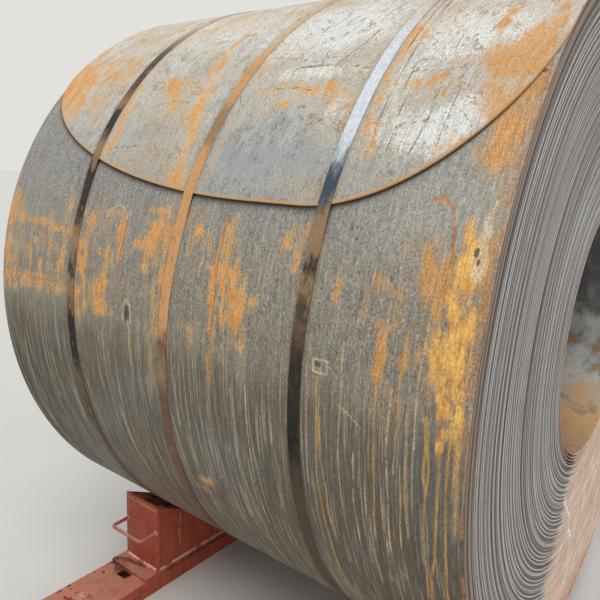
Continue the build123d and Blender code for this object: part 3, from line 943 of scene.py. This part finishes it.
def block_welds(block, bright, plain):
    """The weld beads of one block: the pale ones, and the painted-over ones up its corners."""
    side, face = block_front(block)
    base, front, handle = (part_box(f"{part}_{block}") for part in ("base_plate", "front_plate", "handle"))
    floor, top = base[1].z, front[1].z
    back = base[1].y if side < 0 else base[0].y
    seam = front[0].y + front[1].y - face
    edges = ((front[0].x, (-1, 0, 0)), (front[1].x, (1, 0, 0)))
    left, right = front[0].x, front[1].x
    out, up = (0, side, 0), (0, 0, 1)
    runs = [bead_rows((left + 0.004, face, floor), (right - 0.004, face, floor), weld_size, out, up)]
    runs += [bead_rows((x, face - side * 0.010, floor), (x, back + side * 0.004, floor), weld_size, away, up)
             for x, away in edges]
    runs.append(seam_rows((left + 0.003, face, top), (right - 0.003, face, top), top_seam_size, out, up))
    runs += [ring_rows((x, face, (handle[0].z + handle[1].z) / 2), side)
             for x in (handle[0].x + rod_radius, handle[1].x - rod_radius)]
    corners = [seam_rows((x, seam, floor + 0.006), (x, seam, top - 0.004), corner_seam_size, away, (0, 1, 0))
               for x, away in edges]
    weld_piece(f"welds_{block}", runs, bright)
    weld_piece(f"corner_welds_{block}", corners, plain)


# A floor bolt's washer and worn round head in section: distances from its axis, and heights
bolt_profile = (
    (0.0135, 0.0), (0.0245, 0.0002), (0.0250, 0.0010), (0.0250, 0.0028), (0.0243, 0.0034),
    (0.0172, 0.0036), (0.0168, 0.0045), (0.0166, 0.0100), (0.0158, 0.0124), (0.0130, 0.0140),
    (0.0080, 0.0147), (0.0002, 0.0150),
)


def bolt_piece(name, x, y, height, material):
    """A floor bolt in the rail: a washer and a worn round head."""
    turns = np.linspace(0, 2 * pi, 48, endpoint=False)
    away, rise = np.array(bolt_profile).T[..., None]
    points = np.stack([x + away * np.cos(turns), y + away * np.sin(turns), height + rise + 0 * turns], -1)
    faces = grid_faces(len(bolt_profile), len(turns), close_columns=True)
    make_piece(name, points, faces, material, "cradle_paint", sharp=30)


# Finishes

class Scale(Finish):
    """Hot-rolled mill scale: the noise that the lap and the tail share, and the rust over them."""

    def __init__(self, name, blotch, streak, fine):
        """The shares of three noises say how the painted marks break up."""
        super().__init__(name)
        self.fine = self.noise((270, 270, 270), 3, 0.6)
        self.blotch = self.noise((38, 20, 20), 4, 0.62)
        self.cloud = self.noise((5, 4, 4), 3)
        self.streak = self.noise((190, 6, 6), 3, 0.6)
        self.hair = self.step(self.noise((300, 24, 24), 3, 0.6), 0.34, 0.66)
        self.band = self.noise((30, 2, 2), 2)
        self.grit = self.step(self.noise((250, 210, 210), 3, 0.8), 0.36, 0.64)
        mottle = self.line(self.fine, fine, self.line(self.streak, streak, self.times(self.blotch, blotch)))
        self.broken = self.step(mottle, 0.30, 0.70)

    def grained(self, streaks):
        """What is there, with fine grain and hairlines along the strip."""
        hair = self.line(self.hair, streaks, 1 - streaks / 2)
        return self.shade(self.colour, self.times(hair, self.line(self.grit, 0.32, 0.84)))

    def soft(self, name, low, high):
        """Opacity of a painted mark whose edge the noise breaks up."""
        return self.step(self.times(self.attribute(name), self.line(self.broken, 0.8, 0.45)), low, high)

    def trace(self, name):
        """Opacity of painted lines, ragged and broken."""
        ragged = self.line(self.fine, 0.30, self.attribute(name))
        return self.times(self.step(ragged, 0.57, 0.77), self.line(self.blotch, 0.8, 0.4, clamp=True))

    def rust(self, wash, *tones):
        """Rust: a tan veil where it is thin, orange where it is thick, with a few brown spots."""
        thin = self.times(self.attribute("rust"), self.line(self.broken, 0.56, 0.56))
        amount = self.math("ADD", thin, wash)
        tone = self.ramp(amount, *zip((0.15, 0.40, 0.66, 0.95), tones))
        ochre = self.step(self.axes(self.place)[0], 0.40, 0.66)
        tone = self.mix(self.times(ochre, 0.55), tone, (204, 152, 86))
        spots = self.times(self.step(self.band, 0.62, 0.9), self.step(self.fine, 0.5, 0.8), 0.55)
        tone = self.mix(spots, tone, (136, 92, 56))
        self.opacity = self.times(self.step(amount, 0.05, 0.85), self.line(self.grit, 0.14, 0.76))
        self.coat(self.opacity, tone)

    def done(self, roughness):
        """Ends the material with its roughness and relief."""
        rough = self.line(self.fine, 0.12, self.line(self.opacity, 0.25, roughness))
        height = self.math("ADD", self.times(self.fine, 0.5), self.times(self.opacity, 0.4))
        return self.finish(rough, height, depth=0.0004, specular=0.22)


def lap_finish():
    """The lap below the tail: grey, streaked along the strip, with rust, ochre runs and pits."""
    look = Scale("lap_scale", 0.60, 0.22, 0.18)
    across = look.axes(look.place)[0]
    above = look.math("SUBTRACT", look.attribute("arc"), radians(55) * coil_radius)
    height = look.math("DIVIDE", above, radians(58) * coil_radius)
    low_half, upper = look.step(height, 0.72, 0.55), look.step(height, 0.50, 0.72)
    look.colour = look.ramp(height, (0.0, (96, 86, 73)), (0.34, (102, 93, 80)), (0.55, (112, 104, 92)),
                            (0.62, (134, 127, 113)), (0.80, (142, 137, 126)), (0.90, (148, 144, 136)),
                            (1.0, (148, 146, 141)))
    look.vary(look.times(look.step(across, -0.1, -0.8), look.step(height, 0.62, 0.35)), -0.30, 1.02)
    look.vary(look.times(look.step(across, -0.56, -0.74), look.step(height, 0.66, 0.50)), -0.16, 1.0)
    streaky = look.line(look.step(height, 0.78, 0.98), -0.12, 0.22)
    look.coat(look.step(look.cloud, 0.4, 0.9), (112, 118, 121), 0.34)
    look.coat(look.step(look.streak, 0.55, 0.95), (164, 156, 136), streaky)
    look.coat(look.step(look.streak, 0.42, 0.05), (80, 75, 68), streaky)
    look.coat(look.step(look.band, 0.5, 0.1), (84, 80, 74), 0.14)

    runs = look.times(look.veins(look.noise((46, 1.5, 1.5), 2, 0.5, 0.5), 0.050, 0.018),
                      look.step(look.band, 0.48, 0.58))
    look.coat(runs, (168, 156, 122), look.line(low_half, 0.36, 0.12))
    thin = look.step(look.noise((200, 5, 5), 2, 0.5), 0.65, 0.73)
    look.coat(thin, (178, 168, 146), look.line(low_half, 0.26, 0.26))

    pits = look.step(look.noise((190, 160, 160), 1, 0.4), 0.78, 0.92)
    look.coat(pits, (58, 54, 48), look.line(upper, 0.45, 0.12))
    look.coat(look.step(across, 0.46, 0.62), (188, 184, 170), look.step(height, 0.84, 0.96), 0.34)
    specks = look.step(look.noise((240, 150, 150), 2, 0.6), 0.60, 0.80)
    look.coat(specks, (212, 204, 188), upper, 0.36)
    clouds = look.line(look.step(look.cloud, 0.35, 0.75), 0.5, 0.5)
    higher = look.line(look.times(upper, look.step(height, 1.05, 0.86)), 0.42, 0.07)
    look.rust(look.times(look.broken, clouds, higher),
              (176, 156, 124), (198, 166, 120), (222, 170, 106), (232, 160, 82))

    yellow = look.mix(look.step(look.blotch, 0.3, 0.7), (216, 158, 88), (240, 188, 102))
    look.coat(look.soft("yellow", 0.12, 0.62), yellow, 0.96)
    look.coat(look.soft("cream", 0.30, 0.60), look.mix(look.fine, (204, 170, 124), (238, 220, 184)), 0.9)
    look.coat(look.soft("dark", 0.35, 0.65), (66, 58, 50), 0.8)
    rim_start = look.line(look.step(height, 0.70, 0.56), 0.014, 0.748)
    rim = look.times(look.step(across, rim_start, 0.770), look.step(look.blotch, 0.30, 0.60))
    look.coat(rim, look.mix(look.fine, (136, 106, 82), (204, 160, 120)), 0.75)
    look.coat(look.trace("ochre"), (200, 156, 88), 0.85)
    look.coat(look.trace("pale"), (212, 184, 142))
    look.coat(look.trace("mark"), (184, 122, 66), 0.8)
    look.colour = look.grained(0.26)
    # Rust stain and painted shade beside the straps
    look.coat(look.attribute("strap_side"), (92, 70, 50), 0.45)
    # Painted shadow, with some grime, darkens the lap just below the tail's edge
    look.coat(look.attribute("under"), (40, 32, 27), 0.90)
    return look.done(0.50)


# The tail's tone brightens to the top, partly as a painted sky reflection, and darkens down the back: angle
# from the bottom, and colour
tail_tones = ((111, (168, 167, 160)), (120, (190, 188, 180)), (150, (222, 216, 204)), (184, (214, 207, 194)),
              (225, (172, 167, 157)), (320, (106, 97, 84)), (360, (96, 87, 74)))


def tail_finish():
    """The tail over the top and down the back: pale, with whitish scale and painted sky sheen, rust and
    scratches.
    """
    look = Scale("tail_scale", 0.70, 0.06, 0.24)
    round_coil = look.math("DIVIDE", look.attribute("arc"), 2 * pi * coil_radius)
    clouds = look.step(look.cloud, 0.35, 0.75)
    look.colour = look.ramp(round_coil, *[(angle / 360, tone) for angle, tone in tail_tones])
    look.coat(clouds, (190, 170, 138), 0.34)
    look.coat(look.step(look.blotch, 0.50, 0.72), (150, 150, 148), 0.30)
    look.coat(look.soft("blue", 0.08, 0.70), (162, 167, 167), 0.82)
    # Whitish scale, partly painted sky sheen
    look.coat(look.soft("haze", 0.14, 0.50), (234, 233, 227), 0.92)
    crazed = look.veins(look.noise((14, 9, 9), 5, 0.62, 1.2), 0.055, 0.012)
    look.coat(crazed, (146, 118, 84), look.step(look.blotch, 0.38, 0.60), 0.70)
    look.coat(look.step(look.streak, 0.6, 0.95), (134, 122, 104), 0.25)
    look.coat(look.step(look.noise((150, 130, 130), 1, 0.4), 0.80, 0.92), (70, 64, 56), 0.35)
    look.rust(look.times(look.broken, look.line(clouds, 0.34, 0.10)),
              (206, 190, 158), (218, 186, 136), (230, 176, 108), (232, 162, 84))
    look.coat(look.trace("scratch"), (112, 90, 68), 0.9)
    look.coat(look.line(look.attribute("blue"), -0.5, 1.0), look.grained(0.12))
    # Rust stain and painted shade beside the straps
    look.coat(look.attribute("strap_side"), (110, 84, 60), 0.35)
    look.coat(look.attribute("rim"), (212, 160, 104), look.line(look.blotch, 0.8, 0.5, clamp=True))
    return look.done(0.44)


def end_finish():
    """The strip's edges: grey laps with painted shade in their gaps, and a warm smeared stretch at the bottom
    whose pale colour is partly painted glancing light.
    """
    look = Finish("lap_edges")
    turn, gap, smear = look.attribute("turn"), look.attribute("gap"), look.attribute("smear")
    radial = look.vector("SUBTRACT", look.place, (0, 0, axis_height))
    along, across, up = look.axes(radial)
    radius = look.vector("LENGTH", look.vector("MULTIPLY", radial, (0, 1, 1)), output="Value")
    fine, blotch = look.noise((320, 320, 320), 3, 0.6), look.noise((16, 16, 16), 3)
    own, inward, outward = (look.line_noise(look.math("ADD", turn, off), 2.37, 0) for off in (0.0, 1.0, -1.0))
    beside = look.times(look.math("ADD", inward, outward), 0.5)
    tone = look.line(look.math("SUBTRACT", own, beside), 1.05, 0.45)
    tone = look.line(look.line_noise(turn, 0.17, 1), 0.10, tone)
    look.colour = look.ramp(tone, (0.16, (96, 87, 82)), (0.40, (130, 122, 116)), (0.50, (148, 142, 136)),
                            (0.60, (166, 161, 157)), (0.84, (206, 204, 202)))
    look.coat(look.step(blotch, 0.4, 0.9), (146, 132, 122), 0.35)
    outer_tone = look.ramp(tone, (0.30, (50, 40, 36)), (0.72, (160, 136, 116)))
    look.coat(look.step(radius, 0.890, 0.925), outer_tone, 0.82)
    rims = look.math("ADD", look.step(radius, 0.944, 0.958),
                     look.step(radius, bore_radius + 0.014, bore_radius + 0.004))
    look.coat(rims, look.mix(fine, (140, 98, 66), (196, 148, 100)), look.line(blotch, 0.7, 0.2))
    # Pale warm smear at the bottom of the near end, partly painted glancing light on the flattened edges
    smear = look.math("MULTIPLY", smear, look.line(blotch, 0.35, 0.75, clamp=True), clamp=True)
    look.coat(smear, look.mix(blotch, (230, 196, 172), (244, 218, 196)))

    section = look.add("ShaderNodeCombineXYZ", across, up, 0.0).outputs[0]
    on_near = look.step(along, -0.1, 0.1)
    for scuff in end_scuffs:
        ends = [(*(direction(angle) * distance), 0) for angle, distance in scuff]
        for start, end in zip(ends, ends[1:]):
            look.coat(look.stroke(section, start, end, 0.008), (255, 253, 248),
                      look.math("ADD", fine, 0.5, clamp=True), on_near)
    look.coat(look.step(radius, 0.89, 0.95), (204, 128, 88), look.step(up, -0.82, -0.90), on_near,
              look.step(blotch, 0.2, 0.7))
    grit = look.step(look.noise((260, 260, 260), 3, 0.75), 0.36, 0.64)
    grained = look.shade(look.colour, look.line(grit, 0.46, 0.77))
    look.coat(look.line(smear, 0.6, 0.4, clamp=True), grained)
    look.coat(look.step(tone, 0.52, 0.36), (150, 112, 90), smear, 0.42)
    # Painted shade in the gaps between laps, less where the edges are smeared
    look.coat(look.step(gap, 0.0, 0.7), (34, 27, 24), look.line(smear, -0.65, 0.95))
    return look.finish(look.line(fine, 0.2, 0.42), fine, depth=0.0002, specular=0.4)


def bore_finish():
    """The bore: bluish grey scale above, rust and a bright run at the bottom; its lightness round the bore is
    partly painted light.
    """
    look = Finish("bore_scale")
    fine, blotch = look.noise((240, 240, 240), 3, 0.6), look.noise((12, 12, 12), 4, 0.6)
    back_up = look.math("SUBTRACT", 1.0, look.math("DIVIDE", look.attribute("seen"), 360.0))
    place = look.line(look.math("SUBTRACT", blotch, 0.5), 0.14, back_up)
    # Lighter low down and darker towards the top, partly painted light falling in from the open ends
    look.colour = look.ramp(place, (0.0, (196, 154, 116)), (0.06, (214, 172, 126)), (0.09, (222, 176, 122)),
                            (0.12, (204, 184, 156)), (0.15, (206, 204, 196)), (0.19, (176, 182, 182)),
                            (0.225, (146, 140, 132)), (0.26, (98, 106, 114)), (0.50, (84, 92, 100)),
                            (0.85, (150, 142, 130)), (1.0, (196, 154, 116)))
    rust = look.step(look.line(fine, 0.3, blotch), 0.70, 1.0)
    look.coat(rust, look.mix(fine, (132, 92, 62), (200, 146, 92)), 0.8)
    look.vary(fine, 0.3, 0.85)
    return look.finish(look.line(rust, 0.25, 0.45), fine, depth=0.0003, specular=0.35)


# Tones of the strapping, from blackened steel over dust and rust to a painted sky reflection where it shines
strap_palette = {
    "black": (16, 13, 12), "dark": (44, 38, 33), "drab": (76, 64, 50), "dull": (110, 88, 68),
    "brown": (108, 80, 62), "tan": (154, 126, 94), "rusty": (210, 158, 106), "pale": (208, 184, 152),
    "blue": (64, 80, 92), "shine": (220, 228, 234),
}

# Where each strap's tone changes: angle in degrees from the bottom, and the tone from there
strap_tones = {
    "left": (
        (0, "dark"), (56, "drab"), (74, "drab"), (77, "dull"), (80, "dark"), (83, "black"), (89, "black"),
        (92, "dull"), (94, "tan"), (97, "dark"), (101, "tan"), (103, "tan"), (106, "dark"), (114, "dark"),
        (117, "tan"), (119, "tan"), (121, "dark"), (125, "dark"), (127, "tan"), (131, "drab"),
        (139, "drab"), (151, "pale"), (180, "tan"), (300, "dark")),
    "middle": (
        (0, "dark"), (40, "drab"), (66, "brown"), (80, "brown"), (85, "tan"), (89, "brown"), (92, "rusty"),
        (117, "rusty"), (120, "tan"), (125, "tan"), (127, "rusty"), (134, "rusty"), (140, "pale"),
        (148, "pale"), (180, "tan"), (300, "dark")),
    # On the right strap the blue-white tone from 120 to 135 degrees is a painted sky reflection
    "right": (
        (0, "dark"), (58, "drab"), (75, "drab"), (79, "dark"), (82, "black"), (86, "dark"), (92, "dark"),
        (97, "dull"), (99, "dark"), (101, "tan"), (104, "dark"), (106, "tan"), (110, "tan"), (112, "blue"),
        (116, "blue"), (120, "shine"), (135, "shine"), (150, "pale"), (180, "tan"), (300, "dark")),
}
strap_rust = {"left": 0.7, "middle": 0.5, "right": 0.12}


def strap_finish(place):
    """Blackened strapping with rust, whose tone changes round the coil."""
    look = Finish(f"strap_{place}_finish")
    fine, blotch = look.noise((300, 120, 120), 3, 0.6), look.noise((60, 26, 26), 4, 0.6)
    round_coil = look.math("DIVIDE", look.attribute("seen"), 360.0)
    round_coil = look.line(look.math("SUBTRACT", blotch, 0.5), 0.012, round_coil)
    stops = [(angle / 360, strap_palette[tone]) for angle, tone in strap_tones[place]]
    look.colour = look.ramp(round_coil, *stops)
    look.coat(look.step(blotch, 0.64, 0.80), look.mix(fine, (132, 88, 58), (180, 130, 86)), strap_rust[place])
    look.vary(fine, 0.5, 0.75)
    look.coat(look.step(look.attribute("side"), 0.90, 1.0), (128, 98, 74), 0.3)
    return look.finish(look.line(blotch, 0.3, 0.40), fine, depth=0.0002, specular=0.25)


def paint_finish(name, base, dusty, dust_top, stains=(), drips=()):
    """Red oxide paint, faded, with dust on top, chips, dark stains and pale drips, and painted light on faces
    that look along the rail.
    """
    look = Finish(name)
    fine, cloud = look.noise((280, 280, 280), 3, 0.6), look.noise((6, 6, 6), 3)
    blotch, drip = look.noise((22, 22, 22), 4, 0.62), look.noise((70, 70, 5), 3, 0.6)
    sideways, _, up = look.axes(look.add("ShaderNodeNewGeometry").outputs["Normal"])
    look.colour = look.mix(cloud, base, look.shade(base, 0.72))
    # Painted light: faces that look along the rail, such as the blocks' cheeks, are made up to 35 % lighter,
    # as if lit by light bounced off the ground
    look.vary(look.math("ABSOLUTE", sideways), 0.35, 1.0)
    look.coat(look.step(drip, 0.5, 0.9), (98, 44, 36), 0.35)
    dust = look.line(look.step(up, 0.3, 0.95), dust_top, look.times(blotch, 0.45))
    dust = look.step(look.line(fine, 0.30, dust), 0.42, 1.0)
    look.coat(dust, dusty)
    bare = look.step(look.line(look.math("SUBTRACT", cloud, 0.5), 0.6, blotch), 0.64, 0.74)
    look.coat(bare, (142, 50, 38), look.step(up, 0.3, 0.9))
    chips = look.step(look.line(fine, 0.35, look.noise((46, 46, 46), 3, 0.7)), 1.02, 1.10)
    look.coat(chips, (70, 48, 40))
    ragged = look.step(look.line(fine, 0.5, blotch), 0.35, 0.80)
    for lines, most, tone in ((stains, 0.80, (86, 48, 38)), (drips, 0.50, (214, 168, 148))):
        for start, end, width in lines:
            look.coat(look.stroke(look.place, start, end, width * 2), tone, ragged, most)
    grit = look.step(look.noise((330, 330, 330), 3, 0.75), 0.36, 0.64)
    look.vary(grit, 0.36, 0.82)
    height = look.math("SUBTRACT", look.times(fine, 0.4), chips)
    return look.finish(look.line(dust, 0.2, 0.55), height, depth=0.0004, specular=0.3)


def bolt_finish():
    """A worn bolt head under reddish dust."""
    look = Finish("bolt_zinc")
    fine, blotch = look.noise((320, 320, 320), 3, 0.6), look.noise((90, 90, 90), 3)
    look.colour = look.mix(look.step(blotch, 0.5, 0.85), (208, 146, 124), (150, 84, 66))
    return look.finish(look.line(fine, 0.25, 0.35), fine, depth=0.0002, specular=0.5)


# Camera, light and floor

def add_camera():
    """The photograph's view."""
    lens = bpy.data.cameras.new("camera")
    lens.lens = camera_lens
    lens.sensor_width = 36.0
    camera = show("camera", lens)
    turns = ((camera_heading, "Z"), (90 + camera_pitch, "X"), (camera_roll, "Z"))
    heading, pitch, roll = (Matrix.Rotation(radians(angle), 4, axis) for angle, axis in turns)
    camera.matrix_world = Matrix.Translation(camera_place) @ heading @ pitch @ roll
    bpy.context.scene.camera = camera


def add_sun(origin, strength):
    """Soft light from one side, with wide shadows."""
    light = bpy.data.lights.new("soft_sun", "SUN")
    light.energy = strength
    light.angle = radians(40)
    show("soft_sun", light).rotation_euler = Vector(origin).to_track_quat("Z", "Y").to_euler()


def add_world(level, colour, seen):
    """Even light from all round. Camera, mirror and glass rays see a pale backdrop."""
    world = bpy.data.worlds.new("studio")
    world.use_nodes = True
    tree = world.node_tree
    tree.nodes.clear()
    kinds = ("LightPath", "MixShader", "OutputWorld")
    rays, mix, output = (tree.nodes.new(f"ShaderNode{kind}") for kind in kinds)
    most = rays.outputs["Is Camera Ray"]
    for kind in ("Is Glossy Ray", "Is Transmission Ray"):
        larger = tree.nodes.new("ShaderNodeMath")
        larger.operation = "MAXIMUM"
        tree.links.new(most, larger.inputs[0])
        tree.links.new(rays.outputs[kind], larger.inputs[1])
        most = larger.outputs[0]
    tree.links.new(most, mix.inputs[0])
    for socket, tone, strength in ((mix.inputs[1], colour, level), (mix.inputs[2], seen, 1.0)):
        light = tree.nodes.new("ShaderNodeBackground")
        light.inputs["Color"].default_value = srgb(*tone)
        light.inputs["Strength"].default_value = strength
        tree.links.new(light.outputs[0], socket)
    tree.links.new(mix.outputs[0], output.inputs["Surface"])
    bpy.context.scene.world = world


def add_floor(colour):
    """A plain pale floor."""
    look = Finish("floor_pale")
    look.colour = look.shade(colour, look.line(look.noise((3, 3, 3), 3), 0.04, 0.98))
    mesh = bpy.data.meshes.new("floor")
    corners = [(x * floor_reach, y * floor_reach, 0) for x, y in ((-1, -1), (1, -1), (1, 1), (-1, 1))]
    mesh.from_pydata(corners, [], [(0, 1, 2, 3)])
    mesh.materials.append(look.finish(0.9, specular=0.2))
    show("floor", mesh)


def build_coil():
    """The coil's skin, ends and bore."""
    lap, tail, edges = lap_finish(), tail_finish(), end_finish()
    patches = {"rust": lap_rust, "yellow": lap_yellow, "cream": lap_cream, "dark": lap_dark}
    lines = {"ochre": ochre_runs, "pale": pale_marks, "mark": rust_marks}
    *front, back = lap_stretches
    for stretch in front:
        wrap_piece(*stretch, lap, patches, lines)
    wrap_piece(*back, tail, {"rust": back_rust}, {})
    tail_piece(tail)
    end_piece("coil_near_end", True, edges)
    end_piece("coil_far_end", False, edges)
    bore_piece(bore_finish())


def build_straps():
    """The three straps and their seals."""
    for place in strap_lean:
        finish = strap_finish(place)
        strap_piece(place, finish)
        seal_piece(place, finish)


def build_cradle():
    """The rails, the wedge blocks with their handles and welds, and the floor bolts."""
    paint = paint_finish("cradle_red", (176, 84, 62), (196, 130, 106), 0.56, cradle_stains, cradle_drips)
    rod_paint = paint_finish("handle_red", (188, 104, 90), (226, 172, 156), 0.40)
    weld_paint = paint_finish("weld_red", (206, 122, 102), (240, 190, 170), 0.85)
    for node in frame["nodes"]:
        if node.startswith(("rail", "base", "front", "cheek", "seat")):
            eased_piece(node, paint, "cradle_paint")
    for block in ("left_front", "left_rear", "right_front", "right_rear"):
        handle_piece(block, rod_paint)
        block_welds(block, weld_paint, paint)
    zinc = bolt_finish()
    rail_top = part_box("rail_left")[1].z
    for across, hand in ((-0.5, "left"), (0.5, "right")):
        for along, place in ((-0.5, "front"), (0.5, "rear")):
            x, y = across * bolt_spacing[0], along * bolt_spacing[1]
            bolt_piece(f"bolt_{hand}_{place}", x, y, rail_top, zinc)


add_camera()
add_world(0.58, (250, 252, 255), (226, 225, 222))
add_sun((0.20, -0.45, 1.0), 1.35)
add_floor((224, 222, 216))
build_coil()
build_straps()
build_cradle()
bpy.context.scene.view_settings.view_transform = "Standard"
